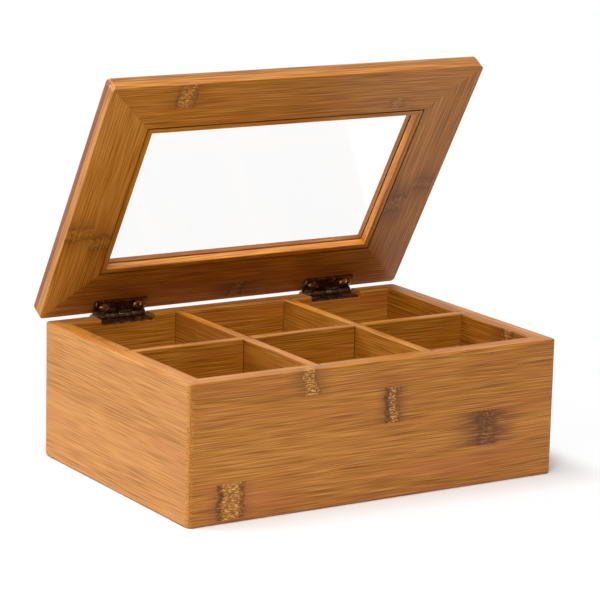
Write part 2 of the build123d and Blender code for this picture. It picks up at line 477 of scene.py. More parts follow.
# Where a growth ring of the cane crosses a strip, in millimetres: along from the board's
# middle, across from the edge that its strips are counted from, the layer that it lies in,
# half of its length along the grain, half of its width across it, and how far its stain fades
# out along the grain. Then how strongly its dark columns show at its two ends, the stain and
# the pale dashes between them.
Ring = namedtuple(
    "Ring", "along across layer half_length half_width fade low high stain dashes"
)

# A board, the direction across its strips, the direction from its show face into the wood,
# the width of its first strip in millimetres, a number that picks its pattern, how light it
# is, how much darker its second layer is, and its growth rings. How light it is holds each
# board's own tone, and on the lid members and the left wall it also holds painted light and
# painted shade for how the lamps fall on them.
Board = namedtuple("Board", "node across through first_strip seed lightness backing rings")

OUTER, INNER = 0, 1

# The distance between fibre bundles in millimetres, and how far their rows drift in radians.
BUNDLE_PITCH = 1.2
BUNDLE_DRIFT = 24.0

# How much the fine lines and the rows of bundles darken the wood.
FINE_CONTRAST = 0.95
RIPPLE_CONTRAST = 0.15

# Strips start up to this far apart along the same cane, in millimetres.
CANE_LENGTH = 900.0

# How strongly the dark hairlines show in the mitres, which are glue joints, and how dark the
# painted shade is in the inner corners where the dividers meet other boards.
MITRE_STRENGTH = 0.22
CREASE_SHADE_STRENGTH = 0.7

WALLS = (
    Board(
        "front_wall", -Z_AXIS, Y_AXIS, 13.4, 3.0, -0.04, 0.0,
        (
            Ring(-40.4, 6.5, OUTER, 3.4, 6.9, 12.0, 0.2, 0.4, 0.55, 0.9),
            Ring(7.6, 23.0, OUTER, 2.9, 9.3, 8.0, 1.0, 0.45, 0.7, 0.8),
            Ring(64.5, 41.3, OUTER, 4.4, 9.3, 22.0, 0.6, 0.2, 1.0, 0.2),
            Ring(-84.0, 60.0, OUTER, 6.4, 9.3, 9.0, 0.95, 0.8, 0.4, 0.9),
        ),
    ),
    Board(
        "back_wall", -Z_AXIS, -Y_AXIS, 9.8, 11.0, 0.05, 0.0,
        (
            Ring(58.0, 19.0, OUTER, 4.0, 9.3, 20.0, 0.8, 0.5, 0.7, 0.6),
            Ring(-22.0, 37.5, OUTER, 6.0, 9.3, 18.0, 0.9, 0.7, 0.5, 0.9),
            Ring(-84.0, 56.0, OUTER, 3.5, 9.3, 20.0, 0.4, 0.6, 0.8, 0.5),
        ),
    ),
    # Its lightness of 0.2 makes the left wall paler than the others, as painted sheen of the key
    # lamp on that side.
    Board(
        "left_wall", -Z_AXIS, X_AXIS, 16.0, 23.0, 0.2, 0.0,
        (
            Ring(-30.0, 6.0, INNER, 3.5, 8.0, 14.0, 0.5, 0.4, 0.6, 0.6),
        ),
    ),
    Board(
        "right_wall", -Z_AXIS, -X_AXIS, 12.0, 37.0, 0.05, 0.25,
        (
            Ring(-46.0, 6.0, INNER, 4.0, 6.0, 18.0, 0.7, 0.4, 0.7, 0.6),
            Ring(31.0, 40.0, OUTER, 5.0, 9.3, 20.0, 0.8, 0.6, 0.6, 0.8),
        ),
    ),
)
BASE = Board(
    "base_panel", Y_AXIS, Z_AXIS, 10.0, 51.0, 0.0, 0.0,
    (
        Ring(-62.0, 19.0, OUTER, 5.0, 9.3, 18.0, 0.8, 0.5, 0.6, 0.8),
        Ring(40.0, 75.0, OUTER, 4.0, 9.3, 18.0, 0.5, 0.8, 0.7, 0.6),
        Ring(-8.0, 112.0, OUTER, 6.0, 9.3, 18.0, 0.8, 0.8, 0.5, 0.8),
    ),
)
DIVIDERS = (
    Board(
        "cross_divider", -Z_AXIS, Y_AXIS, 14.0, 67.0, 0.0, 0.0,
        (
            Ring(2.0, 7.0, OUTER, 4.0, 7.0, 16.0, 0.6, 0.5, 0.6, 0.6),
            Ring(-71.0, 43.0, OUTER, 5.0, 9.3, 16.0, 0.7, 0.4, 0.6, 0.6),
        ),
    ),
    Board(
        "left_divider", -Z_AXIS, X_AXIS, 11.0, 71.0, 0.05, 0.0,
        (
            Ring(33.0, 20.0, OUTER, 4.0, 9.3, 16.0, 0.6, 0.6, 0.6, 0.6),
        ),
    ),
    Board(
        "right_divider", -Z_AXIS, X_AXIS, 17.0, 83.0, 0.05, 0.0,
        (
            Ring(-21.0, 26.0, OUTER, 4.0, 9.3, 16.0, 0.6, 0.6, 0.6, 0.6),
        ),
    ),
)
# The lightness of the lid members is partly their own tone and partly painted light: the left
# stile is made lighter where the lamps light the underside, and the right stile and most of all
# the rear rail are made darker as painted shade from the box below them.
LID_MEMBERS = (
    Board(
        "lid_front_rail", lid_rearward, lid_upward, 15.3, 97.0, 0.0, 0.25,
        (
            Ring(-66.0, 8.0, OUTER, 4.2, 7.6, 14.0, 0.4, 0.5, 0.4, 0.8),
            Ring(64.0, 21.5, OUTER, 3.0, 3.4, 10.0, 0.3, 0.3, 0.3, 0.4),
        ),
    ),
    Board(
        "lid_rear_rail", -lid_rearward, lid_upward, 15.3, 101.0, -0.22, 0.3,
        (
            Ring(-6.0, 7.0, OUTER, 3.5, 5.0, 18.0, 0.6, 0.5, 0.7, 0.4),
        ),
    ),
    Board(
        "lid_left_stile", X_AXIS, lid_upward, 15.3, 113.0, 0.16, 0.85,
        (
            Ring(-18.5, 7.5, OUTER, 3.5, 7.6, 14.0, 0.45, 0.35, 0.45, 0.4),
            Ring(-25.5, 22.5, OUTER, 3.5, 7.6, 14.0, 0.35, 0.45, 0.45, 0.4),
        ),
    ),
    Board(
        "lid_right_stile", -X_AXIS, lid_upward, 15.3, 127.0, -0.06, 0.3,
        (
            Ring(4.0, 8.0, OUTER, 3.0, 6.0, 12.0, 0.35, 0.4, 0.5, 0.3),
            Ring(16.5, 22.0, OUTER, 4.5, 7.6, 18.0, 0.45, 0.4, 0.6, 0.4),
        ),
    ),
)
BEADS = (
    Board("bead_front", lid_rearward, lid_upward, 8.0, 131.0, 0.0, 0.0, ()),
    Board("bead_rear", -lid_rearward, lid_upward, 8.0, 139.0, 0.0, 0.0, ()),
    Board("bead_left", X_AXIS, lid_upward, 8.0, 151.0, 0.0, 0.0, ()),
    Board("bead_right", -X_AXIS, lid_upward, 8.0, 163.0, 0.0, 0.0, ()),
)


# The boards that meet a board's inner faces, each with a fine line of painted shade at both of
# its sides, where the inner corner lies in shade.
SHADED_CREASES = {
    "front_wall": ("left_divider", "right_divider"),
    "back_wall": ("left_divider", "right_divider"),
    "left_wall": ("cross_divider",),
    "right_wall": ("cross_divider",),
    "cross_divider": ("left_divider", "right_divider"),
    "left_divider": ("cross_divider",),
    "right_divider": ("cross_divider",),
}


def reach(nodes, direction):
    """How far the CAD nodes reach along a direction: the lowest and the highest, in metres."""
    places = [
        direction.dot(vertex.co)
        for node in nodes
        for vertex in frame["nodes"][node].data.vertices
    ]
    return min(places), max(places)


def cane_group():
    """The wandering of growth rings at a place in a board, and the marks that they are made of."""
    tree, sheet, given, result = new_group(
        "cane_marks",
        [("Place", "Vector")],
        [("Along", "Float"), ("Beads", "Float"), ("Streaks", "Float"), ("Dashes", "Float")],
    )
    place = given["Place"]
    # A ring's edge is ragged from fibre to fibre and leans a little along the grain.
    ragged = sheet.noise(place, (6.0, 0.9, 0.9), detail=1.0)
    lean = sheet.noise(place, (40.0, 7.0, 7.0), detail=0.0)
    along, _, _ = sheet.split(place)
    along = sheet.math("ADD", along, sheet.math("MULTIPLY_ADD", ragged, 3.0, -1.5))
    along = sheet.math("ADD", along, sheet.math("MULTIPLY_ADD", lean, 6.0, -3.0))
    sheet.feed(result["Along"], along)
    beads = sheet.noise(place, (1.4, 0.9, 0.9), 1.0, 0.6, 0.8)
    sheet.feed(result["Beads"], sheet.step(beads, 0.36, 0.56, 0.3, 0.95))
    streaks = sheet.noise(place, (14.0, 1.1, 1.1), 1.0, 0.6)
    sheet.feed(result["Streaks"], sheet.step(streaks, 0.3, 0.52, 0.3, 1.0))
    dashes = sheet.noise(place, (1.9, 0.7, 0.7), 1.0, 0.6, 0.4)
    sheet.feed(result["Dashes"], sheet.step(dashes, 0.48, 0.64))
    return tree


def ring_group():
    """How strongly a growth ring's dark columns, its inside and its stain show at a place."""
    tree, sheet, given, result = new_group(
        "growth_ring",
        [
            ("Along", "Float"),
            ("Across", "Float"),
            ("Layer", "Float"),
            ("Middle", "Vector"),
            ("Half Size", "Vector"),
            ("Columns", "Vector"),
        ],
        [("Column", "Float"), ("Inside", "Float"), ("Stain", "Float")],
    )
    middle_along, middle_across, own_layer = sheet.split(given["Middle"])
    half_length, half_width, fade = sheet.split(given["Half Size"])
    low, high, _ = sheet.split(given["Columns"])
    along = sheet.math("SUBTRACT", given["Along"], middle_along)
    across = sheet.math("ABSOLUTE", sheet.math("SUBTRACT", given["Across"], middle_across))
    shown = sheet.step(sheet.math("DIVIDE", across, half_width), 0.94, 1.0, 1.0, 0.0)
    same_layer = sheet.math("COMPARE", given["Layer"], own_layer, 0.1)
    shown = sheet.math("MULTIPLY", shown, same_layer)
    from_low = sheet.math("ABSOLUTE", sheet.math("ADD", along, half_length))
    from_high = sheet.math("ABSOLUTE", sheet.math("SUBTRACT", along, half_length))
    low_column = sheet.math("MULTIPLY", sheet.step(from_low, 0.6, 2.2, 1.0, 0.0), low)
    high_column = sheet.math("MULTIPLY", sheet.step(from_high, 0.6, 2.2, 1.0, 0.0), high)
    column = sheet.math("MAXIMUM", low_column, high_column)
    beyond = sheet.math("SUBTRACT", sheet.math("ABSOLUTE", along), half_length)
    inside = sheet.step(beyond, -0.4, 1.0, 1.0, 0.0)
    stain = sheet.step(sheet.math("DIVIDE", beyond, fade), -0.2, 1.0, 1.0, 0.0)
    sheet.feed(result["Column"], sheet.math("MULTIPLY", column, shown))
    sheet.feed(result["Inside"], sheet.math("MULTIPLY", inside, shown))
    sheet.feed(result["Stain"], sheet.math("MULTIPLY", stain, shown))
    return tree


def bamboo_group(finish):
    """Colour, roughness and height of laminated bamboo at a place in a board."""
    tree, sheet, given, result = new_group(
        "bamboo",
        [
            ("Place", "Vector"),
            ("Strip", "Float"),
            ("Layer", "Float"),
            ("Seed", "Float"),
            ("Lightness", "Float"),
            ("Column", "Float"),
            ("Stain", "Float"),
            ("Dashes", "Float"),
            ("Seam", "Float"),
        ],
        [("Color", "Color"), ("Roughness", "Float"), ("Height", "Float")],
    )
    along, across, through = sheet.split(given["Place"])
    pick = sheet.add(
        "ShaderNodeTexWhiteNoise",
        {"Vector": sheet.join(given["Strip"], given["Layer"], given["Seed"])},
        noise_dimensions="3D",
    )
    strip_tone, strip_blush, strip_start = sheet.split(pick.outputs["Color"])

    # Fibres run along the strip, stray a little, and start elsewhere in each strip.
    start = sheet.math("MULTIPLY_ADD", strip_start, CANE_LENGTH, along)
    strayed = sheet.noise(sheet.join(start, across, through), (60.0, 12.0, 12.0), detail=1.0)
    wander = finish.wander / MM
    stray = sheet.math("MULTIPLY_ADD", strayed, 4 * wander, -2 * wander)
    fibre_place = sheet.join(start, sheet.math("ADD", across, stray), through)
    length, width = finish.fibre_length / MM, finish.fibre_width / MM

    def lines(long, wide, detail, roughness=0.5):
        return sheet.noise(
            fibre_place, (length * long, width * wide, width * wide), detail, roughness
        )

    # Bundles lie side by side at an even pitch that drifts along and across the strip.
    drift = lines(2.4, 5.0, 0.0)
    phase = sheet.math("MULTIPLY", across, 2 * math.pi / BUNDLE_PITCH)
    phase = sheet.math("ADD", phase, sheet.math("MULTIPLY", drift, BUNDLE_DRIFT))
    ripple = sheet.math("SINE", phase)
    fine = lines(1.0, 1.0, 0.0)
    hair = lines(0.6, 0.6, 0.0)
    plain = lines(2.0, 2.4, 0.0)
    cloud = lines(3.0, 20.0, 0.0)
    bundle = sheet.step(lines(0.9, 1.0, 0.0), 0.58, 0.7)

    # 0 is the palest tissue and 1 the darkest bundle.
    tone = sheet.math("MULTIPLY_ADD", fine, FINE_CONTRAST, 0.01)
    tone = sheet.math("ADD", tone, sheet.math("MULTIPLY", ripple, RIPPLE_CONTRAST))
    shares = ((hair, 0.9), (plain, 0.06), (cloud, 0.3), (strip_tone, 0.14))
    for part, share in shares:
        tone = sheet.math("ADD", tone, sheet.math("MULTIPLY_ADD", part, share, -share / 2))
    tone = sheet.math("ADD", tone, sheet.math("MULTIPLY", bundle, 0.1))
    # A whole board is made lighter by its lightness, which on some boards holds painted light and
    # painted shade.
    tone = sheet.math("SUBTRACT", tone, given["Lightness"])
    pale = sheet.mix(sheet.step(tone, 0.1, 0.58), finish.light, finish.middle)
    colour = sheet.mix(sheet.step(tone, 0.45, 1.05), pale, finish.dark)
    blush_noise = sheet.noise(fibre_place, (70.0, 9.0, 9.0), detail=1.0)
    blush = sheet.math("MULTIPLY", sheet.step(blush_noise, 0.42, 0.68), strip_blush)
    colour = sheet.mix(sheet.math("MULTIPLY", blush, 0.45), colour, finish.blush)

    # In a growth ring the fibres knot up into dark columns, with a stain round them and pale
    # dashes between them.
    colour = sheet.mix(given["Stain"], colour, finish.stain)
    colour = sheet.mix(sheet.math("MULTIPLY", given["Dashes"], 0.75), colour, finish.dash)
    colour = sheet.mix(given["Column"], colour, finish.ring)

    # A dark hairline where members meet: a glue line in the mitres, and painted shade in the inner
    # corners where the dividers meet other boards.
    colour = sheet.mix(given["Seam"], colour, finish.ring)
    sheet.feed(result["Color"], colour)

    rough = sheet.math("MULTIPLY_ADD", plain, 0.16, finish.varnish_roughness - 0.08)
    rough = sheet.math("ADD", rough, sheet.math("MULTIPLY", given["Column"], 0.06))
    sheet.feed(result["Roughness"], rough)

    height = sheet.math("MULTIPLY_ADD", fine, 0.6, sheet.math("MULTIPLY", hair, 0.4))
    height = sheet.math("SUBTRACT", height, sheet.math("MULTIPLY", given["Column"], 0.5))
    height = sheet.math("SUBTRACT", height, given["Seam"])
    sheet.feed(result["Height"], height)
    return tree


def seam_group():
    """The mitre lines of a frame, seen along the directions of its width and its depth."""
    tree, sheet, given, result = new_group(
        "mitre_seam", [("Place", "Vector"), ("Difference", "Float")], [("Seam", "Float")]
    )
    wide, deep, _ = sheet.split(given["Place"])
    gap = sheet.math("SUBTRACT", sheet.math("ABSOLUTE", wide), sheet.math("ABSOLUTE", deep))
    gap = sheet.math("ABSOLUTE", sheet.math("SUBTRACT", gap, given["Difference"]))
    sheet.feed(result["Seam"], sheet.step(gap, 0.08, 0.3, 1.0, 0.0))
    return tree


def shared_group(name, make):
    """A node group that several materials use, made the first time that one asks for it."""
    return bpy.data.node_groups.get(name) or make()


def finish_board(board, finish, mitred=None):
    """Lays bamboo along one board. mitred gives the nodes of the frame that it is part of."""
    node = frame["nodes"][board.node]
    grain = board.across.cross(board.through)
    rows = (grain, board.across, board.through)
    near_end, far_end = reach([board.node], grain)
    origin = grain * (near_end + far_end) / 2
    origin += board.across * reach([board.node], board.across)[0]
    near_face, far_face = reach([board.node], board.through)
    origin += board.through * near_face

    thickness = far_face - near_face
    layers = max(1, round(thickness / finish.layer_thickness))

    material, sheet = new_material(f"bamboo_{board.node}", finish.middle)
    place = board_mapping(sheet, rows, origin)
    along, across, through = sheet.split(place)
    strips = sheet.math("SUBTRACT", across, board.first_strip)
    strip = sheet.math("FLOOR", sheet.math("DIVIDE", strips, finish.strip_width / MM))
    layer = sheet.math("FLOOR", sheet.math("DIVIDE", through, thickness / layers / MM))
    backing = sheet.math("GREATER_THAN", layer, 0.5)
    lightness = sheet.math("MULTIPLY_ADD", backing, -board.backing, board.lightness)

    column, stain, dashes = 0.0, 0.0, 0.0
    if board.rings:
        cane = use_group(sheet, shared_group("cane_marks", cane_group), {"Place": place})
    for mark in board.rings:
        inputs = {
            "Along": cane["Along"],
            "Across": across,
            "Layer": layer,
            "Middle": (mark.along, mark.across, mark.layer),
            "Half Size": (mark.half_length, mark.half_width, mark.fade),
            "Columns": (mark.low, mark.high, 0.0),
        }
        shown = use_group(sheet, shared_group("growth_ring", ring_group), inputs)
        own_column = sheet.math("MULTIPLY", shown["Column"], cane["Beads"])
        own_stain = sheet.math("MULTIPLY", shown["Stain"], cane["Streaks"])
        own_stain = sheet.math("MULTIPLY", own_stain, mark.stain)
        own_dashes = sheet.math("MULTIPLY", shown["Inside"], cane["Dashes"])
        own_dashes = sheet.math("MULTIPLY", own_dashes, mark.dashes)
        column = sheet.math("MAXIMUM", column, own_column)
        stain = sheet.math("MAXIMUM", stain, own_stain)
        dashes = sheet.math("MAXIMUM", dashes, own_dashes)

    joint_line_and_crease_shade = 0.0
    if mitred:
        nodes, width_way, depth_way = mitred
        left, right = reach(nodes, width_way)
        front, back = reach(nodes, depth_way)
        middle = width_way * (left + right) / 2 + depth_way * (front + back) / 2
        up = width_way.cross(depth_way)
        inputs = {
            "Place": board_mapping(sheet, (width_way, depth_way, up), middle),
            "Difference": ((right - left) - (back - front)) / 2 / MM,
        }
        joint_line_and_crease_shade = use_group(sheet, shared_group("mitre_seam", seam_group), inputs)["Seam"]
        joint_line_and_crease_shade = sheet.math("MULTIPLY", joint_line_and_crease_shade, MITRE_STRENGTH)
    # Painted shade: fine dark lines in the inner corners where other boards meet this one.
    crease_shade = 0.0
    for other in SHADED_CREASES.get(board.node, ()):
        for side in reach([other], grain):
            offset = sheet.math("SUBTRACT", along, (side - (near_end + far_end) / 2) / MM)
            line = sheet.step(sheet.math("ABSOLUTE", offset), 0.1, 0.5, CREASE_SHADE_STRENGTH, 0.0)
            crease_shade = sheet.math("MAXIMUM", crease_shade, line)
    if mitred and crease_shade:
        # Only the inner face of a wall meets other boards, so the painted shade lines stay on it.
        inner_face = sheet.math("GREATER_THAN", through, thickness / MM - 0.2)
        crease_shade = sheet.math("MULTIPLY", crease_shade, inner_face)
    joint_line_and_crease_shade = sheet.math("MAXIMUM", joint_line_and_crease_shade, crease_shade)

    bamboo = use_group(
        sheet,
        shared_group("bamboo", lambda: bamboo_group(finish)),
        {
            "Place": place,
            "Strip": strip,
            "Layer": layer,
            "Seed": board.seed,
            "Lightness": lightness,
            "Column": column,
            "Stain": stain,
            "Dashes": dashes,
            "Seam": joint_line_and_crease_shade,
        },
    )
    relief = sheet.add(
        "ShaderNodeBump",
        {"Strength": 0.5, "Distance": finish.relief, "Height": bamboo["Height"]},
    )
    surface = sheet.add(
        "ShaderNodeBsdfPrincipled",
        {
            "Base Color": bamboo["Color"],
            "Roughness": bamboo["Roughness"],
            "Normal": relief.outputs["Normal"],
            "IOR": 1.5,
            "Specular IOR Level": finish.varnish_gloss,
        },
    )
    show_surface(sheet, surface.outputs["BSDF"])
    node.data.materials.clear()
    node.data.materials.append(material)


def finish_frame_of_boards(boards, finish, width_way, depth_way):
    """Finishes four boards that meet in mitres."""
    nodes = [board.node for board in boards]
    for board in boards:
        finish_board(board, finish, (nodes, width_way, depth_way))


# ---------------------------------------------------------------------------
# Bronze
# ---------------------------------------------------------------------------


def bronze_material(name, finish, rubbing):
    """Antique bronze. rubbing is how much of the patina has thinned, from 0 to 1."""
    material, sheet = new_material(name, finish.patina)
    coordinates = sheet.add("ShaderNodeTexCoord").outputs["Object"]
    place = sheet.vector_math("DIVIDE", coordinates, (MM, MM, MM))
    blotches = sheet.noise(place, (3.2, 3.2, 3.2), 3.0, 0.6, 0.4)
    specks = sheet.noise(place, (0.45, 0.45, 0.45), 2.0, 0.6)
    thin = sheet.math("MULTIPLY_ADD", specks, 0.2, sheet.math("MULTIPLY", blotches, 0.8))
    worn = sheet.step(thin, 0.62 - 0.3 * rubbing, 0.86 - 0.3 * rubbing)
    colour = sheet.mix(worn, finish.patina, finish.rubbed)
    rough = sheet.math("MULTIPLY_ADD", blotches, 0.24, finish.roughness - 0.12)
    relief = sheet.add(
        "ShaderNodeBump",
        {"Strength": 0.4, "Distance": 0.05 * MM, "Height": blotches},
    )
    surface = sheet.add(
        "ShaderNodeBsdfPrincipled",
        {
            "Base Color": colour,
            "Metallic": 1.0,
            "Roughness": rough,
            "Normal": relief.outputs["Normal"],
        },
    )
    show_surface(sheet, surface.outputs["BSDF"])
    return material


# ---------------------------------------------------------------------------
# Meshes
# ---------------------------------------------------------------------------


def new_piece(name, shape, material, body, replaced):
    """Turns a finished bmesh into a piece that rides on a body in place of a CAD node."""
    mesh = bpy.data.meshes.new(name)
    shape.to_mesh(mesh)
    shape.free()
    mesh.shade_smooth()
    mesh.set_sharp_from_angle(angle=math.radians(35))
    mesh.materials.append(material)
    piece = bpy.data.objects.new(name, mesh)
    bpy.context.scene.collection.objects.link(piece)
    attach(piece, body)
    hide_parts(replaced)
    return piece


def frame_matrix(x_way, y_way, z_way, origin):
    """Takes a shape drawn along x, y and z to these directions and this origin."""
    turn = Matrix((x_way, y_way, z_way)).transposed().to_4x4()
    return Matrix.Translation(origin) @ turn


def sharp_edges(shape, angle):
    return [
        edge
        for edge in shape.edges
        if len(edge.link_faces) == 2 and edge.calc_face_angle() > angle
    ]


def ease_edges(shape, radius, segments, angle=math.radians(40)):
    """Rounds every edge whose faces turn by more than the angle."""
    bmesh.ops.bevel(
        shape,
        geom=sharp_edges(shape, angle),
        offset=radius,
        segments=segments,
        profile=0.5,
        affect="EDGES",
        material=-1,
        clamp_overlap=True,
    )


# ---------------------------------------------------------------------------
# Hinges, in millimetres about the pin: x along it, -y over the wood, -z into the box
# ---------------------------------------------------------------------------

HINGE_SIDES = ("left", "right")
KNUCKLE_SLOTS = 4
CORNER_RADIUS = 0.8
SCREW_HOLE_RADIUS = 2.6
HOLE_STEPS = 32
KNUCKLE_GAP = 0.2
LEAF_GAP = 0.2
PIN_RADIUS = 1.0
PIN_CLEARANCE = 0.05


class LeafMeasures:
    """Sizes of a box leaf, read from its CAD node, the back wall and its screws."""

    def __init__(self, side):
        low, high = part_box(f"hinge_{side}_box_leaf")
        pin_low, pin_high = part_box(f"hinge_{side}_pin")
        walls_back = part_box("back_wall")[1].y
        axis = hinge_axis
        self.middle = (low.x + high.x) / 2
        self.length = (high.x - low.x) / MM
        self.knuckle_radius = (high.y - axis.y) / MM
        self.far_edge = (low.y - axis.y) / MM
        self.near_edge = -(self.knuckle_radius + LEAF_GAP)
        self.root = (walls_back - axis.y) / MM
        self.seat = (mortise_floor(self.middle) - axis.z) / MM
        self.pin_radius = PIN_RADIUS
        self.thickness = self.knuckle_radius - self.pin_radius - PIN_CLEARANCE
        screws = [
            vertex.co
            for vertex in frame["nodes"]["box_leaf_screws"].data.vertices
            if low.x < vertex.co.x < high.x
        ]
        across = [place.x for place in screws]
        back_and_forth = [place.y for place in screws]
        head_radius = (max(back_and_forth) - min(back_and_forth)) / 2
        self.screw_y = ((max(back_and_forth) + min(back_and_forth)) / 2 - axis.y) / MM
        self.screw_x = ((max(across) - min(across)) / 2 - head_radius) / MM


def mortise_floor(x):
    """Height of the mortise in the back wall that the leaf at x lies in, in metres."""
    floors = [
        vertex.co.z
        for vertex in frame["nodes"]["back_wall"].data.vertices
        if abs(vertex.co.x - x) < 10 * MM and vertex.co.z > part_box("back_wall")[1].z - 6 * MM
    ]
    return min(floors)


def leaf_shape(measures, finish):
    """One leaf as a sheet that covers its wood, dips to the pin and rolls round it."""
    shape = bmesh.new()
    half = measures.length / 2
    inner_radius = measures.pin_radius + PIN_CLEARANCE
    top = measures.seat + measures.thickness
    pitch = (measures.length + KNUCKLE_GAP) / KNUCKLE_SLOTS
    # The outline runs round the far edge and back along the knuckle ends.
    knuckle_ends = []
    for slot in range(0, KNUCKLE_SLOTS, 2):
        start = -half + slot * pitch
        knuckle_ends.append((start, start + pitch - KNUCKLE_GAP))
    outline = [(-half, measures.far_edge), (half, measures.far_edge)]
    outline.append((half, measures.near_edge))
    for start, end in reversed(knuckle_ends):
        outline += [(end, measures.near_edge), (end, measures.root)]
        outline.append((start, measures.root))
        if start > -half:
            outline.append((start, measures.near_edge))
    corners = [shape.verts.new((x, y, top)) for x, y in outline]
    shape.faces.new(corners)
    bmesh.ops.bevel(
        shape,
        geom=corners[:2],
        offset=CORNER_RADIUS,
        segments=5,
        profile=0.5,
        affect="VERTICES",
        material=-1,
    )
    bmesh.ops.delete(shape, geom=shape.faces[:], context="FACES_ONLY")
    for end in (-1, 1):
        bmesh.ops.create_circle(
            shape,
            cap_ends=False,
            radius=SCREW_HOLE_RADIUS,
            segments=HOLE_STEPS,
            matrix=Matrix.Translation((end * measures.screw_x, measures.screw_y, top)),
        )
    bmesh.ops.triangle_fill(shape, use_beauty=True, edges=shape.edges[:])

    for start, end in knuckle_ends:
        root = [
            edge
            for edge in shape.edges
            if all(
                abs(vertex.co.y - measures.root) < 1e-4
                and start - 1e-4 < vertex.co.x < end + 1e-4
                for vertex in edge.verts
            )
        ]
        dipped = bmesh.ops.extrude_edge_only(shape, edges=root)["geom"]
        dipped_verts = [item for item in dipped if isinstance(item, bmesh.types.BMVert)]
        for vertex in dipped_verts:
            vertex.co = (vertex.co.x, 0.0, -inner_radius)
        rolled = [item for item in dipped if isinstance(item, bmesh.types.BMEdge)]
        bmesh.ops.spin(
            shape,
            geom=rolled + dipped_verts,
            cent=(0, 0, 0),
            axis=(1, 0, 0),
            dvec=(0, 0, 0),
            angle=finish.curl_angle,
            steps=finish.curl_steps,
            use_merge=False,
            use_duplicate=False,
        )
    bmesh.ops.recalc_face_normals(shape, faces=shape.faces[:])
    upper = max(shape.faces, key=lambda face: -face.calc_center_median().y)
    if upper.normal.z < 0:
        bmesh.ops.reverse_faces(shape, faces=shape.faces[:])
    bmesh.ops.solidify(shape, geom=shape.faces[:], thickness=measures.thickness)
    bmesh.ops.recalc_face_normals(shape, faces=shape.faces[:])
    ease_edges(shape, finish.edge_radius / MM, 2)
    return shape


def make_leaf(side, which, finish, material):
    """The box leaf, or the same leaf turned over and opened with the lid."""
    measures = LeafMeasures(side)
    shape = leaf_shape(measures, finish)
    pin_middle = Vector((measures.middle, hinge_axis.y, hinge_axis.z))
    if which == "lid":
        place = frame_matrix(X_AXIS, lid_rearward, lid_upward, pin_middle)
        place = place @ Matrix.Rotation(math.pi, 4, "Y")
        body = "lid"
    else:
        place = Matrix.Translation(pin_middle)
        body = "box"
    bmesh.ops.transform(shape, matrix=place @ Matrix.Scale(MM, 4), verts=shape.verts[:])
    node = f"hinge_{side}_{which}_leaf"
    new_piece(f"hinge_{side}_{which}_leaf_rolled", shape, material, body, node)


# ---------------------------------------------------------------------------
# Window pane
# ---------------------------------------------------------------------------


def pane_material(finish):
    """Clear glass. Lamps shine straight through it."""
    material, sheet = new_material("window_glass", finish.tint)
    glass = sheet.add(
        "ShaderNodeBsdfPrincipled",
        {
            "Base Color": finish.tint,
            "Roughness": 0.0,
            "Transmission Weight": 1.0,
            "IOR": finish.index,
            "Specular Tint": (finish.gloss, finish.gloss, finish.gloss, 1.0),
        },
    )
    clear = sheet.add("ShaderNodeBsdfTransparent", {"Color": finish.tint})
    shadow = sheet.add("ShaderNodeLightPath").outputs["Is Shadow Ray"]
    either = sheet.add("ShaderNodeMixShader")
    sheet.feed(either.inputs[0], shadow)
    sheet.feed(either.inputs[1], glass.outputs["BSDF"])
    sheet.feed(either.inputs[2], clear.outputs["BSDF"])
    show_surface(sheet, either.outputs["Shader"])
    return material


def make_pane(finish):
    ways = (X_AXIS, lid_rearward, lid_upward)
    reaches = [reach(["window_pane"], way) for way in ways]
    size = Vector([high - low for low, high in reaches])
    middle = sum((way * (low + high) / 2 for way, (low, high) in zip(ways, reaches)), Vector())
    shape = bmesh.new()
    bmesh.ops.create_cube(shape, size=1.0, matrix=Matrix.Diagonal((*size, 1.0)))
    ease_edges(shape, finish.arris, 1)
    bmesh.ops.transform(shape, matrix=frame_matrix(*ways, middle), verts=shape.verts[:])
    piece = new_piece(
        "window_pane_glass", shape, pane_material(finish), "lid", "window_pane"
    )
    piece.data.shade_flat()


# ---------------------------------------------------------------------------
# Studio
# ---------------------------------------------------------------------------

# How much of its brightness the mirrored backdrop keeps near the horizon.
LOW_BACKDROP = 0.2


def seen_directly(sheet):
    """1 for a ray that sees the background itself or in a mirror or through glass, else 0."""
    path = sheet.add("ShaderNodeLightPath").outputs
    seen = sheet.math("MAXIMUM", path["Is Camera Ray"], path["Is Glossy Ray"])
    return sheet.math("MAXIMUM", seen, path["Is Transmission Ray"])


def make_room(studio):
    """A white backdrop. Glossy surfaces mirror it behind and above the box, and a dimmer room
    low down and in front, so that a level pane doesn't hide what lies under it."""
    world = bpy.data.worlds.new("white_room")
    world.use_nodes = True
    sheet = NodeSheet(world.node_tree)
    direction = sheet.add("ShaderNodeTexCoord").outputs["Generated"]
    _, rearward, upward = sheet.split(direction)
    bright = studio.backdrop_gloss - studio.room_gloss
    behind = sheet.step(rearward, -0.2, 0.5, 0.0, bright)
    above = sheet.step(upward, 0.3, 0.6, LOW_BACKDROP, 1.0)
    mirrored = sheet.math("MULTIPLY_ADD", behind, above, studio.room_gloss)
    path = sheet.add("ShaderNodeLightPath").outputs
    glossy = sheet.math("MULTIPLY", path["Is Glossy Ray"], mirrored)
    white = sheet.math("MAXIMUM", path["Is Camera Ray"], path["Is Transmission Ray"])
    strength = sheet.math("MAXIMUM", white, glossy)
    strength = sheet.math("MAXIMUM", strength, studio.room_light)
    room = sheet.add("ShaderNodeBackground", {"Color": (1, 1, 1, 1), "Strength": strength})
    sheet.add("ShaderNodeOutputWorld", {"Surface": room.outputs["Background"]})
    bpy.context.scene.world = world


